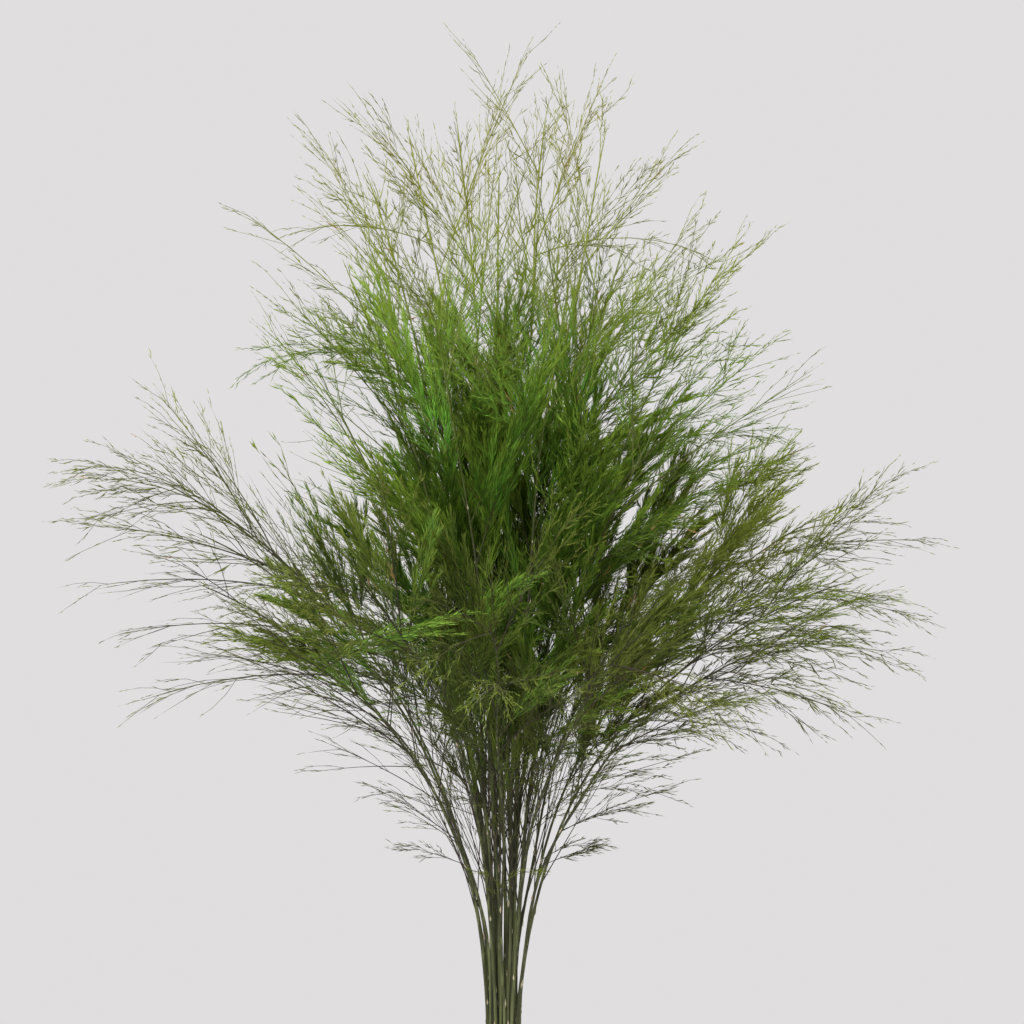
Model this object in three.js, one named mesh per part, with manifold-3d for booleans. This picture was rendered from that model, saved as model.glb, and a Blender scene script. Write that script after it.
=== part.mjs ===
// A potted tree fern: a clump of slender wiry stems, each branching into feathery sprays,
// rooted in soil in a plain tapered pot.
// Millimetres, +Z up. The origin is the centre of the pot's flat base, and the plant is seen
// from the front along +Y, with +X to the right.

import * as THREE from "three";
import { mergeVertices } from "three/addons/utils/BufferGeometryUtils.js";
import Module from "manifold-3d";

const wasm = await Module();
wasm.setup();

// Driving dimensions of the pot and the soil.
const potHeight = 190;
const potBaseRadius = 76;
const potTopRadius = 100;
const potWall = 5;
const potFloor = 7;
const rimHeight = 26;
const rimProud = 4;
const potSides = 28;
const soilBelowRim = 13;
const soilDome = 5;
const soilLump = 1.2;
const soilSides = 18;
const holeSides = 5;
const seatGap = 0.3;

// Driving dimensions of the plant.
const rootedDepth = 60;
const straightRise = 45;
const stemBaseRadius = 1.4;
const stemTipRadius = 0.5;
const stemSides = 5;
const stemSteps = 9;
const sprayRadius = 0.85;
const twigRadius = 0.75;
const twigSides = 3;
const spraysPerStem = 7;
const spraySteps = 2;
const twigsPerSpray = 3;
const longSpray = 144;
const foliageUpTo = 0.97;
const rootTaper = 3;
const jointReach = 0.01;
const clearance = 0.5;

// How sprays and twigs are set and how much they vary: angles in degrees, the rest as shares.
const spraySplay = 28;
const spraySplayVaries = 7;
const lowSpraySplay = 52;
const sprayLengthVaries = 0.12;
const shortestSpray = 0.3;
const uprightSag = 0.1;
const leaningSag = 0.32;
const twigSplay = 27;
const twigSplayVaries = 6;
const twigLength = 0.62;
const twigShortens = 0.34;
const twigLengthVaries = 0.15;
const twigSag = 0.08;
const firstSeed = 20412;

// A spray or twig that would touch another is turned about its parent and tried again, each time
// with more freedom, in radians.
const tries = 14;
const sprayFreedom = 0.25;
const sprayFreedomStep = 0.2;
const twigFreedom = 0.6;
const twigFreedomStep = 0.25;

const soilTop = potHeight - soilBelowRim;
const up = new THREE.Vector3(0, 0, 1);

// The clump's stems stand in three rings. Each row is the way a stem leans, in degrees round from
// +X, how far out from the pot's axis its tip is, and how high above the soil.
const innerRing = { radius: 3.4, foliageFrom: 0.42, longestSpray: 165, stems: [
  [40, 42, 732],
  [158, 78, 716],
  [222, 48, 724],
  [328, 92, 708],
  [95, 50, 690],
] };
const middleRing = { radius: 7.8, foliageFrom: 0.38, longestSpray: 175, stems: [
  [174, 104, 680],
  [203, 128, 610],
  [14, 98, 634],
  [346, 150, 585],
  [60, 125, 615],
  [118, 135, 590],
  [248, 135, 575],
  [292, 125, 595],
  [147, 178, 530],
  [320, 176, 530],
] };
const outerRing = { radius: 12, foliageFrom: 0.42, longestSpray: 160, stems: [
  [36, 215, 445],
  [10, 258, 424],
  [352, 265, 372],
  [332, 240, 330],
  [178, 262, 448],
  [196, 236, 370],
  [218, 224, 334],
  [160, 258, 408],
  [72, 226, 412],
  [116, 236, 384],
  [242, 222, 378],
  [268, 232, 350],
  [298, 222, 342],
] };

// The few short sprays low on the bundle: the stem that each grows on, its place and its length.
const lowSprays = [
  { stem: 20, along: 0.29, length: 58 },
  { stem: 17, along: 0.3, length: 50 },
  { stem: 27, along: 0.3, length: 42 },
];

// A steady stream of numbers from 0 to 1, the same on every run.
let drawn = firstSeed;
function draw() {
  drawn = (Math.imul(drawn, 1664525) + 1013904223) >>> 0;
  return drawn / 4294967296;
}

function spread(middle, eitherSide) {
  return middle + eitherSide * (2 * draw() - 1);
}

// A stem rises straight from the soil, and then leans out ever further along a round arc.
function leanAt(stem, along) {
  return Math.max(stem.length * along - straightRise, 0) / stem.arcRadius;
}

function stemPoint(stem, along) {
  const lean = leanAt(stem, along);
  const outward = stem.ringRadius + stem.arcRadius * (1 - Math.cos(lean));
  const straight = Math.min(stem.length * along, straightRise);
  return new THREE.Vector3(
    outward * Math.cos(stem.heading),
    outward * Math.sin(stem.heading),
    soilTop + straight + stem.arcRadius * Math.sin(lean),
  );
}

// The place on a stem's or a spray's straight pieces at a share of its length.
function placeOn(points, along) {
  const steps = points.length - 1;
  const step = Math.min(Math.floor(along * steps), steps - 1);
  return points[step].clone().lerp(points[step + 1], along * steps - step);
}

// The stem's own directions at a place along it: forward, outward across it, and sideways.
function stemAxes(stem, along) {
  const lean = leanAt(stem, along);
  const level = new THREE.Vector3(Math.cos(stem.heading), Math.sin(stem.heading), 0);
  return {
    forward: level.clone().multiplyScalar(Math.sin(lean)).addScaledVector(up, Math.cos(lean)),
    outward: level.clone().multiplyScalar(Math.cos(lean)).addScaledVector(up, -Math.sin(lean)),
    sideways: new THREE.Vector3().crossVectors(up, level),
  };
}

// A twig's points: it sets off along its first direction and turns evenly towards the ground.
function droop(root, direction, length, sag, steps) {
  const points = [root.clone()];
  for (let k = 0; k < steps; k += 1) {
    const heading = direction.clone().addScaledVector(up, (-sag * (k + 0.5)) / steps).normalize();
    points.push(points[k].clone().addScaledVector(heading, length / steps));
  }
  return points;
}

// The shortest distance between two straight pieces, a to b and c to d.
function gapBetween(a, b, c, d) {
  const u = b.clone().sub(a);
  const v = d.clone().sub(c);
  const w = a.clone().sub(c);
  const uu = u.dot(u);
  const uv = u.dot(v);
  const vv = v.dot(v);
  const uw = u.dot(w);
  const vw = v.dot(w);
  const flat = Math.max(uu * vv - uv * uv, 1e-9);
  let s = THREE.MathUtils.clamp((uv * vw - vv * uw) / flat, 0, 1);
  const t = THREE.MathUtils.clamp((uv * s + vw) / vv, 0, 1);
  s = THREE.MathUtils.clamp((uv * t - uw) / uu, 0, 1);
  return a.clone().addScaledVector(u, s).distanceTo(c.clone().addScaledVector(v, t));
}

// Every straight piece grown so far, with the twig it belongs to and its thickness.
const grown = [];

function isClear(points, radius, parent) {
  for (const piece of grown) {
    if (piece.twig === parent) continue;
    for (let k = 0; k + 1 < points.length; k += 1) {
      const gap = gapBetween(points[k], points[k + 1], piece.from, piece.to);
      if (gap < radius + piece.radius + clearance) return false;
    }
  }
  return true;
}

function keep(twig) {
  for (let k = 0; k + 1 < twig.points.length; k += 1) {
    grown.push({ twig, from: twig.points[k], to: twig.points[k + 1], radius: twig.radius });
  }
}

// The stems come first, from the clump's middle outwards.
const stems = [];
for (const ring of [innerRing, middleRing, outerRing]) {
  for (const [heading, reach, height] of ring.stems) {
    const climb = height - straightRise;
    const endLean = 2 * Math.atan2(reach - ring.radius, climb);
    const arcRadius = climb / Math.sin(endLean);
    const stem = {
      heading: THREE.MathUtils.degToRad(heading),
      length: straightRise + arcRadius * endLean,
      arcRadius,
      ringRadius: ring.radius,
      foliageFrom: ring.foliageFrom,
      longestSpray: ring.longestSpray,
      radius: stemBaseRadius,
      turn: 2 * Math.PI * draw(),
      points: [],
      sprays: [],
    };
    for (let k = 0; k <= stemSteps; k += 1) stem.points.push(stemPoint(stem, k / stemSteps));
    stems.push(stem);
    keep(stem);
  }
}

// A spray sets off at an angle to its stem and turns aside from what is in its way.
function addSpray(stem, along, length, side, splay) {
  const axes = stemAxes(stem, along);
  const root = placeOn(stem.points, along);
  const sag = uprightSag + leaningSag * Math.sin(leanAt(stem, along));
  for (let attempt = 0; attempt < tries; attempt += 1) {
    const round = side + spread(0, sprayFreedom + sprayFreedomStep * attempt);
    const opening = THREE.MathUtils.degToRad(spread(splay, spraySplayVaries));
    const direction = axes.forward.clone().multiplyScalar(Math.cos(opening))
      .addScaledVector(axes.outward, Math.sin(opening) * Math.cos(round))
      .addScaledVector(axes.sideways, Math.sin(opening) * Math.sin(round));
    const points = droop(root, direction, length, sag, spraySteps);
    if (isClear(points, sprayRadius, stem)) {
      const spray = { points, length, radius: sprayRadius, twigs: [] };
      stem.sprays.push(spray);
      keep(spray);
      return;
    }
  }
}

for (const { stem, along, length } of lowSprays) {
  addSpray(stems[stem - 1], along, length, 0, lowSpraySplay);
}

// Sprays leave each stem in a spiral, a golden angle apart, and are longest halfway up its leafy part.
const goldenAngle = THREE.MathUtils.degToRad(137.5);

function growSpray(stem, index) {
  const leafy = (index + 0.5 * draw()) / spraysPerStem;
  const along = stem.foliageFrom + (foliageUpTo - stem.foliageFrom) * leafy;
  const swell = Math.sin(Math.PI * (0.1 + 0.8 * leafy));
  const share = shortestSpray + (1 - shortestSpray) * swell;
  const length = stem.longestSpray * share * spread(1, sprayLengthVaries);
  addSpray(stem, along, length, stem.turn + goldenAngle * index, spraySplay);
}

for (let index = 0; index < spraysPerStem; index += 1) {
  for (const stem of stems) growSpray(stem, index);
}

// Twigs leave a spray to its two sides in turn, and are longest near its middle.
function growTwig(spray, index) {
  const twigs = spray.length > longSpray ? twigsPerSpray : twigsPerSpray - 1;
  if (index >= twigs) return;
  const along = (index + 1) / (twigs + 1);
  const root = placeOn(spray.points, along);
  const step = Math.min(Math.floor(along * spraySteps), spraySteps - 1);
  const forward = spray.points[step + 1].clone().sub(spray.points[step]).normalize();
  const sideways = new THREE.Vector3().crossVectors(forward, up).normalize();
  const across = new THREE.Vector3().crossVectors(forward, sideways);
  const length = spray.length * (twigLength - twigShortens * along) * spread(1, twigLengthVaries);
  for (let attempt = 0; attempt < tries; attempt += 1) {
    const roll = Math.PI * index + spread(0, twigFreedom + twigFreedomStep * attempt);
    const opening = THREE.MathUtils.degToRad(spread(twigSplay, twigSplayVaries));
    const direction = forward.clone().multiplyScalar(Math.cos(opening))
      .addScaledVector(sideways, Math.sin(opening) * Math.cos(roll))
      .addScaledVector(across, Math.sin(opening) * Math.sin(roll));
    const points = droop(root, direction, length, twigSag, 1);
    if (isClear(points, twigRadius, spray)) {
      const twig = { points, length, radius: twigRadius };
      spray.twigs.push(twig);
      keep(twig);
      return;
    }
  }
}

for (let index = 0; index < twigsPerSpray; index += 1) {
  for (const stem of stems) {
    for (const spray of stem.sprays) growTwig(spray, index);
  }
}

function solidOf(geometry) {
  const bare = geometry.clone();
  bare.deleteAttribute("normal");
  bare.deleteAttribute("uv");
  const merged = mergeVertices(bare, 1e-4);
  return new wasm.Manifold(new wasm.Mesh({
    numProp: 3,
    vertProperties: merged.attributes.position.array,
    triVerts: new Uint32Array(merged.index.array),
  }));
}

function geometryOf(solid) {
  const mesh = solid.getMesh();
  const geometry = new THREE.BufferGeometry();
  geometry.setAttribute("position", new THREE.BufferAttribute(mesh.vertProperties, 3));
  geometry.setIndex(new THREE.BufferAttribute(mesh.triVerts, 1));
  geometry.computeVertexNormals();
  return geometry;
}

// A turned shape of few sides whose own axis is bent to follow the points. Each row of its
// profile is a radius and the distance along the points where it lies.
function bentLathe(points, profile, sides) {
  const turned = profile.map(([radius, along]) => new THREE.Vector2(radius, along));
  const geometry = new THREE.LatheGeometry(turned, sides).rotateX(Math.PI / 2);
  const position = geometry.attributes.position;
  const steps = points.length - 1;
  const reaches = [0];
  for (let k = 0; k < steps; k += 1) reaches.push(reaches[k] + points[k].distanceTo(points[k + 1]));
  const chord = points[steps].clone().sub(points[0]);
  const reference = chord.cross(new THREE.Vector3(0.31, 0.87, 0.38)).normalize();
  for (let n = 0; n < position.count; n += 1) {
    const along = position.getZ(n);
    let step = 0;
    while (step < steps - 1 && along > reaches[step + 1] - jointReach) step += 1;
    const atJoint = step > 0 && Math.abs(along - reaches[step]) < jointReach;
    const forward = points[step + 1].clone().sub(points[atJoint ? step - 1 : step]).normalize();
    const first = new THREE.Vector3().crossVectors(reference, forward).normalize();
    const second = new THREE.Vector3().crossVectors(forward, first);
    const share = (along - reaches[step]) / (reaches[step + 1] - reaches[step]);
    const place = points[step].clone().lerp(points[step + 1], share)
      .addScaledVector(first, position.getX(n))
      .addScaledVector(second, position.getY(n));
    position.setXYZ(n, place.x, place.y, place.z);
  }
  return geometry;
}

function stemSolid(stem) {
  const points = [stem.points[0].clone().addScaledVector(up, -rootedDepth), ...stem.points];
  const profile = [[0, 0], [stemBaseRadius, 0], [stemBaseRadius, rootedDepth]];
  let reached = rootedDepth;
  for (let k = 1; k <= stemSteps; k += 1) {
    const radius = stemBaseRadius + ((stemTipRadius - stemBaseRadius) * k) / stemSteps;
    reached += stem.points[k - 1].distanceTo(stem.points[k]);
    profile.push([k < stemSteps ? radius : 0, reached]);
  }
  return solidOf(bentLathe(points, profile, stemSides));
}

// A spray's own stalk is a slim core: pointed inside the stem, full near its root, then tapering.
function spraySolid(spray) {
  const profile = [[0, 0], [spray.radius, rootTaper]];
  for (let k = 1; k < spraySteps; k += 1) {
    profile.push([spray.radius * (1 - (0.6 * k) / spraySteps), (spray.length * k) / spraySteps]);
  }
  profile.push([0, spray.length]);
  return solidOf(bentLathe(spray.points, profile, twigSides));
}

function twigSolid(twig) {
  const profile = [[0, 0], [twig.radius, rootTaper], [0, twig.length]];
  return solidOf(bentLathe(twig.points, profile, twigSides));
}

function leafyStem(stem) {
  const pieces = [stemSolid(stem)];
  for (const spray of stem.sprays) {
    pieces.push(spraySolid(spray), ...spray.twigs.map(twigSolid));
  }
  return geometryOf(wasm.Manifold.union(pieces));
}

// The pot's wall runs straight from its base to its top, with a plain raised band at the rim.
function potRadiusAt(height) {
  return potBaseRadius + ((potTopRadius - potBaseRadius) * height) / potHeight;
}

function pot() {
  const bandFoot = potHeight - rimHeight;
  const edge = 1.5;
  const profile = [
    [0, 0],
    [potBaseRadius - edge, 0],
    [potBaseRadius, edge],
    [potRadiusAt(bandFoot), bandFoot],
    [potRadiusAt(bandFoot) + rimProud, bandFoot + edge],
    [potTopRadius + rimProud, potHeight - edge],
    [potTopRadius + rimProud - edge, potHeight],
    [potTopRadius - potWall + edge, potHeight],
    [potRadiusAt(potHeight - edge) - potWall, potHeight - edge],
    [potRadiusAt(potFloor) - potWall, potFloor],
    [0, potFloor],
  ].map(([radius, height]) => new THREE.Vector2(radius, height));
  return new THREE.LatheGeometry(profile, potSides).rotateX(Math.PI / 2);
}

// The soil fills the pot, slightly domed and lumpy on top, with a plain hole for each stem.
function soil() {
  const inside = Math.cos(Math.PI / potSides);
  const foot = potFloor + seatGap;
  const footRadius = (potRadiusAt(foot) - potWall) * inside - seatGap;
  const topRadius = (potRadiusAt(soilTop - soilDome) - potWall) * inside - seatGap;
  const ringShares = [0.78, 0.52, 0.26];
  const profile = [[0, foot], [footRadius, foot], [topRadius, soilTop - soilDome]];
  for (const share of ringShares) {
    profile.push([topRadius * share, soilTop - soilDome * share * share]);
  }
  profile.push([0, soilTop]);
  const points = profile.map(([radius, height]) => new THREE.Vector2(radius, height));
  const geometry = new THREE.LatheGeometry(points, soilSides).rotateX(Math.PI / 2);
  const position = geometry.attributes.position;
  for (let n = 0; n < position.count; n += 1) {
    const x = position.getX(n);
    const y = position.getY(n);
    const inTop = position.getZ(n) > soilTop - soilDome + 0.1;
    const lump = Math.sin(0.11 * x + 1.3) * Math.cos(0.13 * y) + 0.5 * Math.sin(0.19 * (x - y));
    if (inTop) position.setZ(n, position.getZ(n) + soilLump * lump);
  }
  const holeRadius = (stemBaseRadius + seatGap) / Math.cos(Math.PI / holeSides);
  const holes = stems.map((stem) => {
    const hole = new THREE.CylinderGeometry(holeRadius, holeRadius, 2 * rootedDepth, holeSides);
    hole.rotateX(Math.PI / 2);
    return solidOf(hole.translate(stem.points[0].x, stem.points[0].y, soilTop - seatGap));
  });
  return geometryOf(solidOf(geometry).subtract(wasm.Manifold.union(holes)));
}

const potMaterial = new THREE.MeshStandardMaterial({ color: 0xb9b3a8, roughness: 0.75 });
const soilMaterial = new THREE.MeshStandardMaterial({ color: 0x2b2019, roughness: 0.95 });
const leafMaterials = [0x6f8a24, 0x4c7a22, 0x47622a].map(
  (color) => new THREE.MeshStandardMaterial({ color, roughness: 0.6 }),
);

const plant = new THREE.Group();

function addNode(name, geometry, material) {
  const mesh = new THREE.Mesh(geometry, material);
  mesh.name = name;
  plant.add(mesh);
}

addNode("pot", pot(), potMaterial);
addNode("soil", soil(), soilMaterial);
stems.forEach((stem, index) => {
  const ring = [innerRing, middleRing, outerRing].findIndex((r) => r.radius === stem.ringRadius);
  const name = `leafy_stem_${String(index + 1).padStart(2, "0")}`;
  addNode(name, leafyStem(stem), leafMaterials[ring]);
});

export default plant;
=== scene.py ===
# A potted tree fern: a clump of wiry stems with feathery sprays of fine needles, rooted in soil in
# a plain tapered pot. The plant is worked out in millimetres and put into its meshes in metres.
import math

import bpy
import numpy as np
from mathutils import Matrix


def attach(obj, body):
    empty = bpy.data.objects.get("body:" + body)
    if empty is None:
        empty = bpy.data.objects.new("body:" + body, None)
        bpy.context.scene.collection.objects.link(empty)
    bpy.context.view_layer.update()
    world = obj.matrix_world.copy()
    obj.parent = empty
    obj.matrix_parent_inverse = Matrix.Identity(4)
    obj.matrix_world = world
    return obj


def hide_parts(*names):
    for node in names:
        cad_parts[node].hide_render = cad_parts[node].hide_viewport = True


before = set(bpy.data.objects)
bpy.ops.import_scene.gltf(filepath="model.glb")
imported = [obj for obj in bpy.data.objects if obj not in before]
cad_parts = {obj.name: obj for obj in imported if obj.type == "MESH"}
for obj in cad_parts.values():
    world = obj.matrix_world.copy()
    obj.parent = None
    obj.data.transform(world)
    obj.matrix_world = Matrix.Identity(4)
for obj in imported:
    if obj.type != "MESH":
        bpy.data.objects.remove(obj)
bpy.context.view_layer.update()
millimetre = 0.001
up = np.array([0.0, 0.0, 1.0])
goldenAngle = math.radians(137.5)
print("frame:", len(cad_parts), "nodes")

# Camera

camera = {
    "place": (0.006, -2.6, 0.599),
    "frameWidth": 0.768,  # metres across the picture at the pot's axis
    "sensor": 36.0,
}
cameraData = bpy.data.cameras.new("camera")
cameraData.sensor_width = camera["sensor"]
cameraData.lens = camera["sensor"] * -camera["place"][1] / camera["frameWidth"]
cameraData.clip_end = 100.0
cameraObject = bpy.data.objects.new("camera", cameraData)
cameraObject.location = camera["place"]
cameraObject.rotation_euler = (math.radians(90), 0.0, 0.0)
bpy.context.scene.collection.objects.link(cameraObject)
bpy.context.scene.camera = cameraObject


# Meshes

def makePiece(name, points, triangles, tint=None, smooth=False):
    # Puts whole arrays of points, in millimetres, and of triangles into a new mesh object.
    mesh = bpy.data.meshes.new(name)
    mesh.vertices.add(len(points))
    mesh.vertices.foreach_set("co", (points * millimetre).astype(np.float32).ravel())
    mesh.loops.add(triangles.size)
    mesh.loops.foreach_set("vertex_index", triangles.astype(np.int32).ravel())
    mesh.polygons.add(len(triangles))
    mesh.polygons.foreach_set("loop_start", np.arange(0, triangles.size, 3, dtype=np.int32))
    mesh.update(calc_edges=True)
    mesh.polygons.foreach_set("use_smooth", np.full(len(triangles), smooth))
    if tint is not None:
        layer = mesh.attributes.new("tint", "FLOAT_COLOR", "POINT")
        layer.data.foreach_set("color", tint.astype(np.float32).ravel())
    mesh.validate()
    piece = bpy.data.objects.new(name, mesh)
    bpy.context.scene.collection.objects.link(piece)
    return piece


def unit(vectors):
    # Each vector divided by its own length.
    return vectors / np.maximum(np.linalg.norm(vectors, axis=-1, keepdims=True), 1e-9)


class Sheaf:
    # Gathers many small closed shapes into one list of points, one of triangles and one of tints.
    def __init__(self):
        self.points, self.triangles, self.tints, self.count = [], [], [], 0

    def add(self, points, triangles, tint):
        # points is (shapes, corners, 3), and every shape has the same triangles. tint is one row for
        # each shape, or one for each of its corners.
        shapes, corners = points.shape[:2]
        first = self.count + np.arange(shapes)[:, None, None] * corners
        self.points.append(points.reshape(-1, 3))
        self.triangles.append((first + triangles[None]).reshape(-1, 3))
        self.tints.append(tint.reshape(-1, 4) if tint.ndim == 3 else np.repeat(tint, corners, axis=0))
        self.count += shapes * corners

    def whole(self):
        return np.concatenate(self.points), np.concatenate(self.triangles), np.concatenate(self.tints)


def bandTriangles(bands, sides):
    # Two triangles for each side of each band between two rings of corners.
    here = np.arange(bands)[:, None] * sides + np.arange(sides)
    beside = np.arange(bands)[:, None] * sides + (np.arange(sides) + 1) % sides
    halves = [(here, beside, beside + sides), (here, beside + sides, here + sides)]
    return np.concatenate([np.stack(half, -1).reshape(-1, 3) for half in halves])


def tubes(paths, radii, sides):
    # Slim closed tubes: each point of a path but the last has a ring of corners round it, at
    # point + radius * (across * cos(angle) + over * sin(angle)), and the last point is the tip.
    shapes, count = paths.shape[:2]
    chord = unit(paths[:, -1] - paths[:, 0])
    steep = np.abs(chord[:, 2:]) > 0.8
    reference = unit(np.cross(chord, np.where(steep, [[1.0, 0.0, 0.0]], [[0.0, 0.0, 1.0]])))
    forward = unit(np.gradient(paths, axis=1))
    across = unit(np.cross(forward, reference[:, None]))
    over = np.cross(forward, across)
    angle = 2 * math.pi * np.arange(sides) / sides
    ring = (across[:, :-1, None] * np.cos(angle)[:, None] + over[:, :-1, None] * np.sin(angle)[:, None])
    corners = paths[:, :-1, None] + ring * radii[:, :-1, None, None]
    points = np.concatenate([corners.reshape(shapes, -1, 3), paths[:, -1:]], axis=1)
    last = (count - 2) * sides
    tip = np.full(sides, last + sides)
    point = np.stack([last + np.arange(sides), last + (np.arange(sides) + 1) % sides, tip], -1)
    base = np.stack([np.zeros(sides - 2, int), np.arange(2, sides), np.arange(1, sides - 1)], -1)
    return points, np.concatenate([bandTriangles(count - 2, sides), point, base])


needleTriangles = np.array([[0, 2, 3], [1, 3, 2], [0, 1, 2], [0, 3, 1]])


def needles(root, way, forward, length, width, thickness, curl, roll):
    # Four-cornered slivers: a root, a tip and two side corners between them. The side corners stand
    # proud of the line from root to tip on the outer side of the curve that the needle bends in.
    outer = unit(way * np.sum(way * forward, -1, keepdims=True) - forward)
    side = np.cross(way, outer)
    face = outer * np.cos(roll)[:, None] + side * np.sin(roll)[:, None]
    edge = np.cross(way, face) * (width / 2)[:, None]
    middle = root + way * (length * 0.42)[:, None] + face * thickness[:, None]
    tip = root + unit(way + forward * curl[:, None]) * length[:, None]
    return np.stack([root, tip, middle + edge, middle - edge], axis=1)


# The clump's growth, by the same rule and the same stream of numbers as the solids

clump = {
    "soilTop": 177.0,
    "rooted": 60.0,  # length of a stem below the soil's top
    "straightRise": 45.0,  # length above it that stands straight
    "stemBase": 1.4,  # radius
    "stemTip": 0.5,
    "stemSteps": 9,
    "sprayRadius": 0.85,
    "twigRadius": 0.75,
    "spraysPerStem": 7,
    "spraySteps": 2,
    "sprayOpening": 28.0,  # degrees from the stem
    "lowOpening": 52.0,
    "twigsPerSpray": 3,
    "twigOpening": 27.0,
    "longSpray": 144.0,  # a shorter spray has one twig fewer
    "foliageUpTo": 0.97,
    "clearance": 0.5,
    "tries": 14,
    "seed": 20412,
    "lowSprays": [(20, 0.29, 58.0), (17, 0.3, 50.0), (27, 0.3, 42.0)],  # stem, share along it, length
}
# Each stem is the way it leans in degrees, how far out its tip is and how high above the soil.
rings = [
    {"slot": "upper_foliage", "radius": 3.4, "foliageFrom": 0.42, "longestSpray": 165.0, "stems": [
        (40, 42, 732), (158, 78, 716), (222, 48, 724), (328, 92, 708), (95, 50, 690)]},
    {"slot": "middle_foliage", "radius": 7.8, "foliageFrom": 0.38, "longestSpray": 175.0, "stems": [
        (174, 104, 680), (203, 128, 610), (14, 98, 634), (346, 150, 585), (60, 125, 615),
        (118, 135, 590), (248, 135, 575), (292, 125, 595), (147, 178, 530), (320, 176, 530)]},
    {"slot": "outer_foliage", "radius": 12.0, "foliageFrom": 0.42, "longestSpray": 160.0, "stems": [
        (36, 215, 445), (10, 258, 424), (352, 265, 372), (332, 240, 330), (178, 262, 448),
        (196, 236, 370), (218, 224, 334), (160, 258, 408), (72, 226, 412), (116, 236, 384),
        (242, 222, 378), (268, 232, 350), (298, 222, 342)]},
]


class Stream:
    # A steady stream of numbers from 0 to 1, the same on every run.
    def __init__(self, seed):
        self.drawn = seed

    def draw(self):
        self.drawn = (self.drawn * 1664525 + 1013904223) % 4294967296
        return self.drawn / 4294967296

    def spread(self, middle, eitherSide):
        return middle + eitherSide * (2 * self.draw() - 1)


def stemPoint(stem, along):
    # A stem rises straight and then leans out ever further along a round arc. along may be an array.
    past = stem["length"] * np.asarray(along, float) - clump["straightRise"]
    lean = np.maximum(past, 0) / stem["arc"]
    outward = stem["ring"] + stem["arc"] * (1 - np.cos(lean))
    height = clump["soilTop"] + clump["straightRise"] + np.minimum(past, 0) + stem["arc"] * np.sin(lean)
    x, y = outward * math.cos(stem["heading"]), outward * math.sin(stem["heading"])
    return np.stack([x, y, height], -1)


def placeOn(points, along):
    # The place at a share of a line's steps.
    steps = len(points) - 1
    step = min(int(along * steps), steps - 1)
    return points[step] + (points[step + 1] - points[step]) * (along * steps - step)


def droop(root, way, length, sag, steps):
    # A line that sets out along way and sinks a little more at each step.
    points = [root]
    for k in range(steps):
        heading = way - up * (sag * (k + 0.5) / steps)
        points.append(points[k] + heading / np.linalg.norm(heading) * length / steps)
    return np.array(points)


class Thicket:
    # Keeps every line that has grown, and says whether a new one would come too near another.
    def __init__(self):
        self.starts, self.ends = np.zeros((0, 3)), np.zeros((0, 3))
        self.radii, self.owners = np.zeros(0), np.zeros(0, int)

    def keep(self, points, radius, owner):
        self.starts = np.vstack([self.starts, points[:-1]])
        self.ends = np.vstack([self.ends, points[1:]])
        self.radii = np.append(self.radii, [radius] * (len(points) - 1))
        self.owners = np.append(self.owners, [owner] * (len(points) - 1))

    def clear(self, points, radius, parent):
        # No line of another parent may come nearer than the clearance. The least distance between two
        # straight pieces is measured from the shares s and t along them where they are nearest.
        other = self.owners != parent
        c, v, r = self.starts[other], (self.ends - self.starts)[other], self.radii[other]
        vv = (v * v).sum(1)
        for k in range(len(points) - 1):
            a, u = points[k], points[k + 1] - points[k]
            w = a - c
            uu, uv, uw, vw = u @ u, v @ u, w @ u, (v * w).sum(1)
            s = np.clip((uv * vw - vv * uw) / np.maximum(uu * vv - uv * uv, 1e-9), 0, 1)
            t = np.clip((uv * s + vw) / vv, 0, 1)
            s = np.clip((uv * t - uw) / uu, 0, 1)
            gap = np.linalg.norm(a + u * s[:, None] - c - v * t[:, None], axis=1)
            if (gap < radius + r + clump["clearance"]).any():
                return False
        return True


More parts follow.
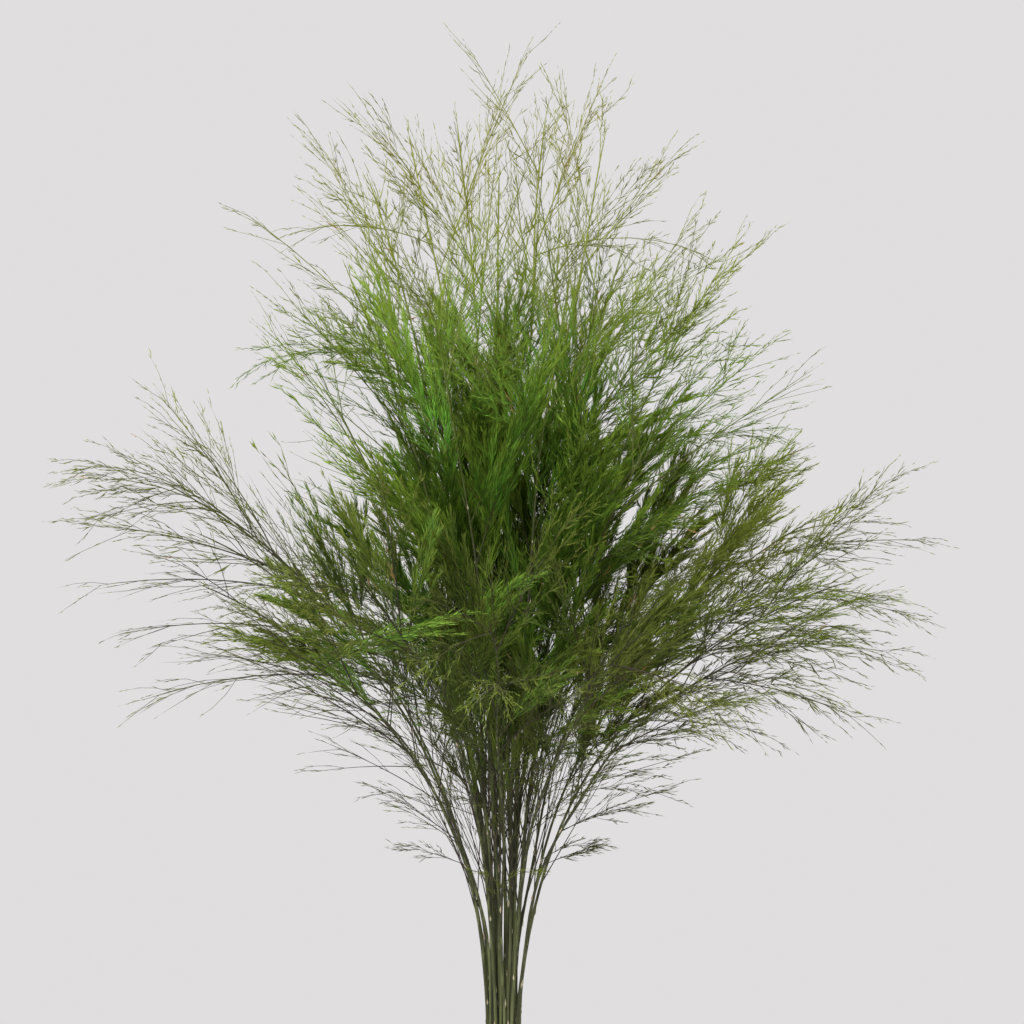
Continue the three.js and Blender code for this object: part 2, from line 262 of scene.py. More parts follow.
def growClump():
    # Stems first, then sprays in turns round the stems, then twigs in turns round the sprays.
    stream, thicket, stems, owner = Stream(clump["seed"]), Thicket(), [], 0
    for ring in rings:
        for heading, reach, height in ring["stems"]:
            climb = height - clump["straightRise"]
            endLean = 2 * math.atan2(reach - ring["radius"], climb)
            arc = climb / math.sin(endLean)
            stem = {"heading": math.radians(heading), "arc": arc, "ring": ring["radius"], "sprays": [],
                    "length": clump["straightRise"] + arc * endLean, "foliageFrom": ring["foliageFrom"],
                    "longestSpray": ring["longestSpray"], "slot": ring["slot"], "owner": owner}
            stem["points"] = stemPoint(stem, np.arange(clump["stemSteps"] + 1) / clump["stemSteps"])
            stem["turn"] = 2 * math.pi * stream.draw()
            stems.append(stem)
            thicket.keep(stem["points"], clump["stemBase"], owner)
            owner += 1

    def addSpray(stem, along, length, side, splay):
        nonlocal owner
        lean = max(stem["length"] * along - clump["straightRise"], 0.0) / stem["arc"]
        level = np.array([math.cos(stem["heading"]), math.sin(stem["heading"]), 0.0])
        forward = level * math.sin(lean) + up * math.cos(lean)
        outward = level * math.cos(lean) - up * math.sin(lean)
        sideways = np.cross(up, level)
        root = placeOn(stem["points"], along)
        for attempt in range(clump["tries"]):
            around = side + stream.spread(0, 0.25 + 0.2 * attempt)
            opening = math.radians(stream.spread(splay, 7))
            turned = outward * math.cos(around) + sideways * math.sin(around)
            way = forward * math.cos(opening) + turned * math.sin(opening)
            points = droop(root, way, length, 0.1 + 0.32 * math.sin(lean), clump["spraySteps"])
            if thicket.clear(points, clump["sprayRadius"], stem["owner"]):
                stem["sprays"].append({"points": points, "length": length, "along": along, "twigs": [],
                                       "owner": owner})
                thicket.keep(points, clump["sprayRadius"], owner)
                owner += 1
                return

    for number, along, length in clump["lowSprays"]:
        addSpray(stems[number - 1], along, length, 0, clump["lowOpening"])
    for index in range(clump["spraysPerStem"]):
        for stem in stems:
            leafy = (index + 0.5 * stream.draw()) / clump["spraysPerStem"]
            along = stem["foliageFrom"] + (clump["foliageUpTo"] - stem["foliageFrom"]) * leafy
            swell = math.sin(math.pi * (0.1 + 0.8 * leafy))
            length = stem["longestSpray"] * (0.3 + 0.7 * swell) * stream.spread(1, 0.12)
            addSpray(stem, along, length, stem["turn"] + goldenAngle * index, clump["sprayOpening"])
    for index in range(clump["twigsPerSpray"]):
        for spray in [spray for stem in stems for spray in stem["sprays"]]:
            twigs = clump["twigsPerSpray"] - (spray["length"] <= clump["longSpray"])
            if index >= twigs:
                continue
            along = (index + 1) / (twigs + 1)
            root = placeOn(spray["points"], along)
            step = min(int(along * clump["spraySteps"]), clump["spraySteps"] - 1)
            forward = unit(spray["points"][step + 1] - spray["points"][step])
            sideways = unit(np.cross(forward, up))
            across = np.cross(forward, sideways)
            length = spray["length"] * (0.62 - 0.34 * along) * stream.spread(1, 0.15)
            for attempt in range(clump["tries"]):
                roll = math.pi * index + stream.spread(0, 0.6 + 0.25 * attempt)
                splay = math.radians(stream.spread(clump["twigOpening"], 6))
                turned = sideways * math.cos(roll) + across * math.sin(roll)
                way = forward * math.cos(splay) + turned * math.sin(splay)
                points = droop(root, way, length, 0.08, 1)
                if thicket.clear(points, clump["twigRadius"], spray["owner"]):
                    spray["twigs"].append((along, points[1]))
                    thicket.keep(points, clump["twigRadius"], owner)
                    owner += 1
                    break
    return stems


stems = growClump()
print("growth:", len(stems), "stems,", sum(len(stem["sprays"]) for stem in stems), "sprays")


# The fine growth round each stem

fineGrowth = {
    "seed": 5172,
    "stemSides": 8,
    "stemPoints": 34,
    "wobble": 1.6,  # millimetres that a stalk strays from its arc
    "scaleEvery": 30.0,  # millimetres between a stem's straw scales
    "fillSprays": 10,  # finer sprays among the leafy ones
    "bareSprays": {"upper_foliage": 8, "middle_foliage": 6, "outer_foliage": 2},  # long ones below them
    "sprayPoints": 8,
    "twigPoints": 4,
    "dryShare": 0.004,
    "youngTone": 2.0,  # past 1, so that a young plume stays bright in painted shade
    "youngYellow": 0.15,
    "furthestBack": 300.0,  # millimetres behind the axis that a twig's tip may be
    # Stems that are leafier or barer than the rest, which are 1.
    "leafiness": {4: 1.3, 8: 1.3, 14: 0.4, 15: 0.8, 16: 1.1, 17: 1.3, 18: 1.3, 19: 1.2, 20: 1.1, 21: 0.5,
                  22: 0.6, 23: 0.35, 26: 0.85},
    # Spots where the clump as seen from the front is thinner or fuller: across, height, reach, amount.
    "uneven": [
        (-160, 640, 48, -0.9), (-160, 726, 36, 1.4), (-208, 474, 50, -0.7), (-205, 575, 34, -0.7),
        (-175, 527, 38, 1.6), (-125, 430, 48, -0.6), (228, 620, 44, 1.5), (172, 672, 34, -0.6),
        (135, 585, 70, 0.8), (205, 590, 50, 0.5), (282, 575, 52, -0.8), (155, 428, 50, -0.4),
        (0, 812, 62, -0.6), (124, 820, 32, -0.5), (-70, 840, 45, 0.6), (-65, 775, 40, 0.4),
        (170, 765, 40, 0.9), (70, 890, 50, 0.6), (0, 345, 70, 1.3), (8, 327, 30, 0.9),
        (50, 338, 30, 0.6), (-295, 625, 44, 0.5), (-285, 560, 42, -0.8), (-112, 672, 36, -0.7),
        (-112, 915, 45, -0.8), (0, 950, 42, -0.6), (-152, 792, 52, -0.7), (125, 767, 30, -0.3),
        (226, 695, 48, -0.9), (262, 425, 60, -0.8), (130, 365, 40, -0.5), (-66, 400, 45, -0.4),
        (30, 862, 40, -0.5), (122, 479, 40, 0.6), (-66, 620, 40, 0.3), (-262, 678, 38, -0.7),
        (-28, 872, 34, 0.7), (150, 719, 45, 0.5), (225, 479, 40, 0.7), (-164, 579, 36, -0.7),
        (-150, 522, 36, 0.6), (176, 482, 28, -0.5), (126, 479, 30, 0.4), (-66, 435, 36, -0.5),
        (126, 675, 32, -0.5), (78, 665, 34, 0.9), (-135, 671, 40, -0.6), (-114, 719, 34, 0.7),
        (-18, 742, 40, 1.1), (78, 767, 34, 0.5), (180, 628, 36, 0.6), (-114, 505, 40, 0.5),
        (40, 431, 40, -0.4), (-180, 475, 42, -0.55), (145, 719, 40, 0.3), (-250, 500, 45, -0.4),
        (-114, 560, 36, 0.4), (-200, 625, 50, -0.5), (-135, 478, 45, -0.35), (-306, 575, 35, -0.5),
        (25, 722, 36, -0.4), (126, 767, 34, -0.3)],
    # Spots on the front half of painted light, or of painted shade where the amount is below 0, in the
    # same way.
    "paintedLightAndShadeSpots": [
        (-150, 500, 60, 0.3), (15, 765, 100, 0.8), (140, 690, 40, 0.4), (-95, 620, 38, 0.35),
        (205, 545, 50, 0.5), (115, 580, 45, -0.6), (80, 650, 40, -0.5), (5, 620, 45, 0.3),
        (8, 327, 35, 0.9), (50, 338, 40, 0.5), (-72, 575, 55, -1.0), (-60, 530, 30, -0.4),
        (-65, 440, 50, 0.5), (75, 440, 45, 0.4)],
    # Sprays that the photograph shows apart from the rest, or where it is fuller: stem, share along
    # it, length, the way it points and its habit. The plumes are young and bright.
    "shown": [
        (22, 0.85, 110.0, (0.85, -0.3, 0.5), "plume"), (26, 0.68, 108.0, (0.48, -0.3, 0.85), "plume"),
        (26, 0.8, 92.0, (0.2, -0.35, 0.95), "plume"), (21, 0.72, 112.0, (-0.7, -0.5, 0.4), "plume"),
        (21, 0.6, 105.0, (-0.5, -0.5, 0.8), "plume"), (22, 0.72, 95.0, (-0.6, -0.4, 0.6), "plume"),
        (20, 0.55, 120.0, (-0.7, -0.45, 0.8), "plume"), (21, 0.7, 95.0, (-0.5, -0.5, 0.85), "feathery"),
        (28, 0.7, 112.0, (0.35, 0.1, 0.95), "feathery"),
        (9, 0.5, 125.0, (0.75, -0.4, 0.75), "feathery"), (9, 0.6, 108.0, (0.7, -0.6, 0.3), "feathery"),
        (19, 0.6, 128.0, (0.2, -0.2, 1.0), "feathery"), (27, 0.62, 100.0, (0.5, -0.5, 0.7), "plume"),
        (20, 0.76, 176.0, (-0.8, -0.1, 0.85), "feathery"),
        (20, 0.84, 150.0, (-0.84, 0.1, 0.8), "feathery"),
        (20, 0.8, 140.0, (-0.45, -0.1, 1.0), "feathery"),
        (15, 0.58, 110.0, (0.8, -0.3, 0.6), "feathery"),
        (1, 0.84, 130.0, (0.95, -0.1, 0.4), "feathery"),
        (2, 0.87, 118.0, (-0.92, -0.1, 0.42), "feathery"),
        (6, 0.78, 130.0, (-0.95, -0.1, 0.36), "feathery"),
        (27, 0.32, 36.0, (-0.4, -0.6, 0.8), "feathery"), (27, 0.33, 38.0, (0.6, -0.4, 0.6), "feathery"),
        (25, 0.31, 34.0, (0.1, -0.5, 0.6), "feathery"), (17, 0.31, 52.0, (0.8, -0.2, 0.6), "feathery")],
}
# How a spray of each habit is set with twigs, twiglets and needles: spacings and lengths in
# millimetres, angles in degrees, places as shares of the parent's length.
habits = {
    "bare": {
        "twigEvery": 15.0, "twigFrom": 0.3, "twigLength": 0.6, "twigOpening": (12, 26),
        "gather": (0.3, 0.7), "twigletEvery": 17.0, "twigletLength": (9, 17), "twigletOpening": (10, 22),
        "needleFrom": 0.5, "needleEvery": 6.0, "twigletNeedleEvery": 5.0, "needleLength": (4, 8),
        "needleWidth": (0.45, 0.6), "needleOpening": (6, 18)},
    "feathery": {
        "twigEvery": 11.0, "twigFrom": 0.1, "twigLength": 0.62, "twigOpening": (14, 34),
        "gather": (0.4, 0.9), "twigletEvery": 9.2, "twigletLength": (10, 23), "twigletOpening": (16, 40),
        "needleFrom": 0.2, "needleEvery": 2.9, "twigletNeedleEvery": 4.7, "needleLength": (5, 9.5),
        "needleWidth": (0.5, 0.7), "needleOpening": (9, 28)},
    "plume": {
        "twigEvery": 9.0, "twigFrom": 0.1, "twigLength": 0.56, "twigOpening": (12, 28),
        "gather": (0.4, 0.9), "twigletEvery": 11.0, "twigletLength": (10, 18), "twigletOpening": (8, 18),
        "needleFrom": 0.04, "needleEvery": 1.5, "twigletNeedleEvery": 3.5, "needleLength": (9, 16),
        "needleWidth": (0.74, 1.0), "needleOpening": (6, 21)},
}
bareHabit, featheryHabit, plumeHabit = range(3)
# Radii at the base and near the tip, for a branch of full length. A shorter or longer one is thinner
# or thicker in proportion, between two bounds. Its kind is 0 for stalk to 1 for needle.
branches = {
    "spray": {"radii": (0.62, 0.2), "fullLength": 160, "thickness": (0.5, 1.1), "sides": 4,
              "kinds": (0.08, 0.75)},
    "twig": {"radii": (0.34, 0.24), "fullLength": 90, "thickness": (0.6, 1.1), "sides": 3,
             "kinds": (0.25, 0.85)},
}


def trait(name, habit):
    # The trait's value, or its least and greatest, for each habit number in an array.
    return np.array([traits[name] for traits in habits.values()], float)[habit]


# Where the growth is closest, where its sprays are plumes and where painted shade deepens its
# green most: the place across and the height of an egg shape's middle, and its half width and half
# height.
hearts = {
    "close": (0.0, 575.0, 240.0, 170.0),
    "plumes": (-30.0, 548.0, 146.0, 145.0),
    "deep": (0.0, 500.0, 200.0, 230.0),
}


def fromHeart(place, name):
    # The squared distance from the heart's middle, with half its width and half its height as 1.
    across, height, halfWidth, halfHeight = hearts[name]
    level = ((place[..., 0] - across) ** 2 + place[..., 1] ** 2) / halfWidth ** 2
    return level + ((place[..., 2] - height) / halfHeight) ** 2


def crowding(place):
    # How closely fine growth stands: exp(-squared distance) from the close heart, over a third.
    return 0.34 + 0.8 * np.exp(-fromHeart(place, "close"))


def plumeShare(place):
    # The share of sprays that are plumes: nearly all in their heart, and with a straight slope over
    # the squared distance none past 1.45.
    return np.clip((1.45 - fromHeart(place, "plumes")) / 0.9, 0, 0.95)


def paintedDepthShade(place):
    # How much painted shade deepens the green: exp(-squared distance) from the deep heart.
    return 0.6 * np.exp(-fromHeart(place, "deep"))


def spotWeights(place, spots):
    # amount * exp(-distance^2 / reach^2) for each spot, with the distance as the front view shows it.
    for across, height, reach, amount in spots:
        distance = (place[..., 0] - across) ** 2 + (place[..., 2] - height) ** 2
        yield amount * np.exp(-distance / reach ** 2)


def evenness(place):
    # The share of fine growth that stands at a place: 1 + weight of each uneven spot, all multiplied.
    share = np.ones(place.shape[:-1])
    for weight in spotWeights(place, fineGrowth["uneven"]):
        share = share * (1 + weight)
    return share


def paintedLightAndShade(place):
    # The sum of the painted light and shade spots' weights, on the front half only.
    return sum(spotWeights(place, fineGrowth["paintedLightAndShadeSpots"])) * np.clip(0.5 - place[..., 1] / 60.0, 0, 1)


def between(rng, low, high, count):
    # count random values between low and high.
    return low + (high - low) * rng.random(count)


def within(rng, bounds):
    # A random value for each row between its two bounds.
    return bounds[:, 0] + (bounds[:, 1] - bounds[:, 0]) * rng.random(len(bounds))


def pointsAlong(paths, parent, share):
    # The place on each parent path at a share of its length, and the way the path runs there.
    steps = paths.shape[1] - 1
    at = np.clip(share, 0, 0.9999) * steps
    low = at.astype(int)
    here, there = paths[parent, low], paths[parent, low + 1]
    return here + (there - here) * (at - low)[:, None], unit(there - here)


def lean(forward, opening, roll):
    # A direction turned away from forward by opening, and round it by roll.
    steep = np.abs(forward[:, 2:]) > 0.94
    sideways = unit(np.cross(forward, np.where(steep, [[0.7, 0.7, 0.1]], [[0.0, 0.0, 1.0]])))
    turned = sideways * np.cos(roll)[:, None] + np.cross(forward, sideways) * np.sin(roll)[:, None]
    return forward * np.cos(opening)[:, None] + turned * np.sin(opening)[:, None]


def growPaths(root, way, forward, length, gather, sag, points):
    # Each path sets out along way, and bends by gather towards forward and by sag downwards in step
    # with the share of its length already run. It is the sum of short straight steps.
    run = ((np.arange(points - 1) + 0.5) / (points - 1))[None, :, None]
    bend = gather[:, None, None] * run
    heading = unit(way[:, None] * (1 - bend) + forward[:, None] * bend - up * sag[:, None, None] * run)
    steps = np.cumsum(heading * (length / (points - 1))[:, None, None], axis=1)
    return np.concatenate([root[:, None], root[:, None] + steps], axis=1)


def scatter(rng, length, amount, clumping, first, last):
    # Places along each parent, amount of them from first to last, jittered and drawn into clumps by a
    # sine of the place. Gives each place's parent, its number there and its share of the length.
    amount = np.maximum(np.round(amount), 1)
    most = int(amount.max())
    place = (np.arange(most)[None] + rng.random((len(length), most))) / amount[:, None]
    waves = np.maximum(length / 34.0, 1.0)[:, None]
    swing = np.sin(2 * math.pi * (waves * place + rng.random((len(length), 1))))
    parent, column = np.nonzero(place < 1)
    share = np.clip(place + clumping * swing / (2 * math.pi * waves), 0, 1)[parent, column]
    return parent, column, first[parent] + (last - first[parent]) * share


def tints(kind, tone, tip, dry):
    # kind is 0 for bark to 1 for needle, tone is deep to fresh, tip is plain to yellow.
    # On foliage the tone holds painted shade and painted light as well.
    return np.clip(np.stack(np.broadcast_arrays(kind, tone, tip, dry), -1), 0, 1)


def needleTints(kind, tone, tip, dry):
    # Each needle is deeper at its root, and fresher and yellower at its tip.
    fade = np.array([[0, -0.22, -0.1, 0], [0, 0.14, 0.2, 0], [0, 0, 0, 0], [0, 0, 0, 0]])
    return np.clip(np.stack(np.broadcast_arrays(kind, tone, tip, dry), -1)[:, None] + fade, 0, 1)


def tubeTints(first, last, tone, points, sides):
    # A tube goes from one kind at its root to another at its tip, and greener and yellower with it.
    share = np.append(np.repeat(np.arange(points - 1), sides), points - 1) / (points - 1)
    kind = first + (last - first) * share[None]
    return tints(kind, tone[:, None] + 0.15 * share, 0.45 * share ** 2, 0.0)


def strayingStalk(stem, rng):
    # The stem's arc, from which two slow waves stray by a millimetre or two.
    bends = between(rng, 1.5, 3.5, 2)
    phases = between(rng, 0, 2 * math.pi, 2)

    def stalkPoint(along):
        along = np.asarray(along, float)
        stray = fineGrowth["wobble"] * np.clip(along * 6, 0, 1)[..., None]
        wave = np.sin(2 * math.pi * bends * along[..., None] + phases)
        return stemPoint(stem, along) + stray * np.concatenate([wave, 0 * wave[..., :1]], -1)

    return stalkPoint


def taper(girth, along):
    # A stalk's radius, which falls evenly from its base to its tip.
    return girth * (clump["stemBase"] + (clump["stemTip"] - clump["stemBase"]) * np.clip(along, 0, 1))


def addStalk(sheaf, stem, stalkPoint, rng):
    # The tapering stalk, and straw scales that clasp it at uneven steps.
    along = np.linspace(-clump["rooted"] / stem["length"], 1, fineGrowth["stemPoints"])
    girth = between(rng, 0.8, 1.08, 1)
    radius = taper(girth, along)
    points, triangles = tubes(stalkPoint(along)[None], radius[None], fineGrowth["stemSides"])
    sheaf.add(points, triangles, tints(np.zeros(1), between(rng, 0.4, 0.9, 1), 0.0, 0.0))
    count = int(stem["length"] / fineGrowth["scaleEvery"])
    share = (np.arange(count) + rng.random(1) + between(rng, -0.4, 0.4, count)) / (count + 1)
    share = np.maximum(share, 0.01)
    place = stalkPoint(share)
    forward = unit(stalkPoint(share + 0.01) - place)
    turn = goldenAngle * np.arange(count) + between(rng, 0, 6, 1)
    out = lean(forward, np.full(count, math.pi / 2), turn)
    radius = taper(girth, share)
    size = (1 - 0.6 * share) * between(rng, 0.6, 1.15, count)
    shapes = needles(place + out * (radius * 0.86)[:, None], unit(forward + out * 0.06), forward,
                     7.5 * size, 2.0 * size, 0.35 * size, np.full(count, 0.02), np.zeros(count))
    sheaf.add(shapes, needleTriangles, tints(0.5, rng.random(count), 0.0, 1.0))


def growSprays(stem, stalkPoint, leafiness, shown, rng):
    # The solids' own sprays, smoothed through their three points, then finer ones among them, long
    # bare ones below and the shown ones. Gives the paths, their lengths and their habits.
    own = np.array([spray["points"] for spray in stem["sprays"]])
    t = np.linspace(0, 1, fineGrowth["sprayPoints"])[None, :, None]
    paths = (own[:, :1] * (1 - t) * (1 - 2 * t) + own[:, 1:2] * 4 * t * (1 - t)
             + own[:, 2:] * t * (2 * t - 1))
    along = np.array([spray["along"] for spray in stem["sprays"]])
    paths += (stalkPoint(along) - own[:, 0])[:, None] * (1 - t) ** 2
    ownLength = np.array([spray["length"] for spray in stem["sprays"]])

    fill, bare = fineGrowth["fillSprays"], fineGrowth["bareSprays"][stem["slot"]]
    count, isBare = fill + bare, np.arange(fill + bare) >= fill
    leafy = np.concatenate([((np.arange(fill) + rng.random(fill)) / fill) ** 1.5, np.zeros(bare)])
    low = np.concatenate([np.zeros(fill), 1 - (np.arange(bare) + rng.random(bare)) / bare])
    share = stem["foliageFrom"] - 0.2 * low + (clump["foliageUpTo"] - stem["foliageFrom"]) * leafy
    root = stalkPoint(share)
    forward = unit(stalkPoint(share + 0.01) - root)
    swell = 0.3 + 0.7 * np.sin(math.pi * (0.1 + 0.8 * leafy))
    length = stem["longestSpray"] * np.where(isBare, 0.8, swell * 0.75) * between(rng, 0.8, 1.1, count)
    opening = np.radians(np.where(isBare, between(rng, 9, 18, count), between(rng, 20, 54, count)))
    roll = stem["turn"] + goldenAngle * (np.arange(count) + 0.5) + between(rng, -0.5, 0.5, count)
    sag = between(rng, 0.05, 0.45, count) + 0.2 * np.sqrt(np.maximum(0, 1 - forward[:, 2] ** 2))
    finer = growPaths(root, lean(forward, opening, roll), forward, length, np.full(count, 0.25), sag,
                      fineGrowth["sprayPoints"])
    paths = np.concatenate([paths, finer])
    middle = paths[:, fineGrowth["sprayPoints"] // 2]
    chance = plumeShare(middle) * min(leafiness, 1) ** 2 * np.minimum(evenness(middle), 1.1)
    habit = np.where(rng.random(len(paths)) < chance, plumeHabit, featheryHabit)
    habit[len(own):][isBare] = bareHabit
    stays = rng.random(len(paths)) < evenness(middle) + 0.3
    stays[:len(own)] = True
    paths, length, habit = paths[stays], np.concatenate([ownLength, length])[stays], habit[stays]
    if shown:
        _, share, shownLength, way, kind = (np.array(column) for column in zip(*shown))
        isPlume = kind == "plume"
        grown = growPaths(stalkPoint(share), unit(way), unit(way), shownLength, np.zeros(len(shown)),
                          np.where(isPlume, 0.3, 0.75), fineGrowth["sprayPoints"])
        paths, length = np.concatenate([paths, grown]), np.concatenate([length, shownLength])
        habit = np.concatenate([habit, np.where(isPlume, plumeHabit, featheryHabit)])
    return paths, length, habit


def growTwigs(stem, sprays, sprayLength, habit, rng):
    # Twigs all round each spray, and the solids' own among them, bowed a little. Gives their paths,
    # the spray that each grows on and where along it.
    first, last = trait("twigFrom", habit), 0.97
    amount = sprayLength * (last - first) / trait("twigEvery", habit)
    parent, column, share = scatter(rng, sprayLength, amount, 0.3, first, last)
    root, forward = pointsAlong(sprays, parent, share)
    count, kind = len(parent), habit[parent]
    length = sprayLength[parent] * trait("twigLength", kind) * (1 - 0.6 * share)
    length *= between(rng, 0.75, 1.1, count)
    openness = between(rng, 0.65, 1.25, len(sprays))[parent]
    way = lean(forward, np.radians(within(rng, trait("twigOpening", kind))) * openness,
               goldenAngle * column + between(rng, -0.5, 0.5, count))
    level = np.sqrt(np.maximum(0, 1 - forward[:, 2] ** 2))
    points = fineGrowth["twigPoints"]
    gather = within(rng, trait("gather", kind))
    paths = growPaths(root, way, forward, length, gather, 0.05 + 0.26 * level, points)
    stays = rng.random(count) < evenness(paths[:, points // 2]) + 0.2
    stays &= paths[:, -1, 1] < fineGrowth["furthestBack"]
    paths, parent, share = paths[stays], parent[stays], share[stays]
    own = [(n, share, end) for n, spray in enumerate(stem["sprays"]) for share, end in spray["twigs"]]
    ownParent, ownShare = np.array([n for n, _, _ in own]), np.array([share for _, share, _ in own])
    ownRoot, ownForward = pointsAlong(sprays, ownParent, ownShare)
    reach = np.array([end for _, _, end in own]) - ownRoot
    t = np.linspace(0, 1, points)[None, :, None]
    depth = 0.05 * np.linalg.norm(reach, axis=1)
    bow = unit(np.cross(np.cross(reach, ownForward), reach)) * depth[:, None]
    ownPaths = ownRoot[:, None] + reach[:, None] * t - bow[:, None] * 4 * t * (1 - t)
    together = ((paths, ownPaths), (parent, ownParent), (share, ownShare))
    return [np.concatenate(pair) for pair in together]


def addBranches(sheaf, paths, length, tone, branch):
    # Tapering tubes, thicker where they are longer, that go from bark to greener bark at their tips.
    count = paths.shape[1]
    thick = np.clip(length / branch["fullLength"], *branch["thickness"])[:, None]
    points, triangles = tubes(paths, thick * np.linspace(*branch["radii"], count)[None], branch["sides"])
    sheaf.add(points, triangles, tubeTints(*branch["kinds"], tone, count, branch["sides"]))


def gatherHosts(stalkPoint, sprays, twigs, onSpray, twigShare, leafiness, rng):
    # What twiglets and needles grow on: the twigs, the outer part of each spray, more of it on a
    # plume, and the top of the stalk. leafiness sets how many it carries, and fullness their width.
    count, points = len(sprays["paths"]), fineGrowth["twigPoints"]
    every = np.repeat(np.arange(count), points)
    t = np.tile(np.linspace(0, 1, points), count)
    part = np.where(sprays["habit"][every] == plumeHabit, 0.8, 0.4)
    ends = pointsAlong(sprays["paths"], every, 1 - part * (1 - t))[0]
    top = stalkPoint(np.linspace(0.84, 1, points))[None]
    paths = np.concatenate([twigs, ends.reshape(count, points, 3), top])
    onSpray = np.concatenate([onSpray, np.arange(count), [0]])
    share = np.concatenate([twigShare, np.full(count + 1, 0.9)])
    habit = np.append(sprays["habit"][onSpray[:-1]], featheryHabit)
    middle = paths[:, points // 2]
    # Painted shade deep in the clump, and painted light and shade at given front spots, go into the tone.
    tone = sprays["tone"][onSpray] + 0.5 * (share - 0.45) - paintedDepthShade(middle)
    tone += between(rng, -0.15, 0.15, len(paths)) + paintedLightAndShade(middle)
    closeness = crowding(middle) * leafiness
    leafiness = np.where(habit == plumeHabit, 1.0, closeness) * between(rng, 0.7, 1.2, len(paths))
    return {"paths": paths, "length": np.linalg.norm(np.diff(paths, axis=1), axis=2).sum(1),
            "habit": habit, "tone": tone, "yellow": sprays["yellow"][onSpray],
            "leafiness": leafiness * evenness(middle), "fullness": 0.78 + 0.3 * closeness}


def addTwiglets(sheaf, hosts, rng):
    # Twiglets along each host, shorter and nearer its own direction towards its tip. Gives each one's
    # line, length and dryness, its host and where along it.
    amount = hosts["length"] * hosts["leafiness"] / trait("twigletEvery", hosts["habit"])
    first = np.full(len(amount), 0.12)
    parent, column, share = scatter(rng, hosts["length"], amount, 0.7, first, 0.95)
    root, forward = pointsAlong(hosts["paths"], parent, share)
    count, kind = len(parent), hosts["habit"][parent]
    dry = (rng.random(count) < fineGrowth["dryShare"]) * 0.55
    length = within(rng, trait("twigletLength", kind)) * (1.15 - 0.55 * share)
    length *= np.clip(hosts["length"][parent] / 70, 0.5, 1.1)
    way = lean(forward, np.radians(within(rng, trait("twigletOpening", kind))) * (1.2 - 0.6 * share),
               goldenAngle * column + between(rng, -0.6, 0.6, count))
    width = between(rng, 0.45, 0.7, count) * hosts["fullness"][parent]
    shapes = needles(root, way, forward, length, width, np.full(count, 0.28),
                     between(rng, 0.1, 0.35, count), between(rng, -0.9, 0.9, count))
    tone = hosts["tone"][parent] + between(rng, -0.12, 0.12, count)
    tip = 0.4 * share + hosts["yellow"][parent]
    sheaf.add(shapes, needleTriangles, needleTints(0.7, tone, tip, dry))
    lines = np.stack([shapes[:, 0], (shapes[:, 2] + shapes[:, 3]) / 2, shapes[:, 1]], axis=1)
    return {"lines": lines, "length": length, "dry": dry, "host": parent, "share": share}


def addNeedles(sheaf, hosts, twiglets, rng):
    # Needles on the twiglets, then on the hosts themselves. Off the plumes they lie ever closer
    # against what carries them towards a host's tip.
    kind = hosts["habit"][twiglets["host"]]
    amount, first = twiglets["length"] / trait("twigletNeedleEvery", kind), np.full(len(kind), 0.2)
    onTwiglet, columnA, shareA = scatter(rng, twiglets["length"], amount, 0.2, first, 0.98)
    amount = hosts["length"] * hosts["leafiness"] / trait("needleEvery", hosts["habit"])
    first = trait("needleFrom", hosts["habit"])
    onHost, columnB, shareB = scatter(rng, hosts["length"], amount, 0.4, first, 0.99)
    rootA, forwardA = pointsAlong(twiglets["lines"], onTwiglet, shareA)
    rootB, forwardB = pointsAlong(hosts["paths"], onHost, shareB)
    root, forward = np.concatenate([rootA, rootB]), np.concatenate([forwardA, forwardB])
    host = np.concatenate([twiglets["host"][onTwiglet], onHost])
    outward = np.concatenate([twiglets["share"][onTwiglet], shareB])
    column = np.concatenate([columnA, columnB])
    dry = np.concatenate([twiglets["dry"][onTwiglet], np.zeros(len(onHost))])
    count, kind, fullness = len(root), hosts["habit"][host], hosts["fullness"][host]
    length = within(rng, trait("needleLength", kind)) * (1.15 - 0.5 * outward) * fullness
    hug = np.where(kind == plumeHabit, 1.0, 1.25 - 0.95 * outward)
    way = lean(forward, np.radians(within(rng, trait("needleOpening", kind))) * hug,
               goldenAngle * column + between(rng, -0.7, 0.7, count))
    width = within(rng, trait("needleWidth", kind)) * fullness
    shapes = needles(root, way, forward, length, width, np.full(count, 0.16),
                     between(rng, 0.05, 0.4, count), between(rng, -0.9, 0.9, count))
    tone = hosts["tone"][host] + between(rng, -0.3, 0.35, count)
    tip = 0.4 * outward ** 2 + 0.25 * rng.random(count) + hosts["yellow"][host]
    sheaf.add(shapes, needleTriangles, needleTints(1.0, tone, tip, dry))


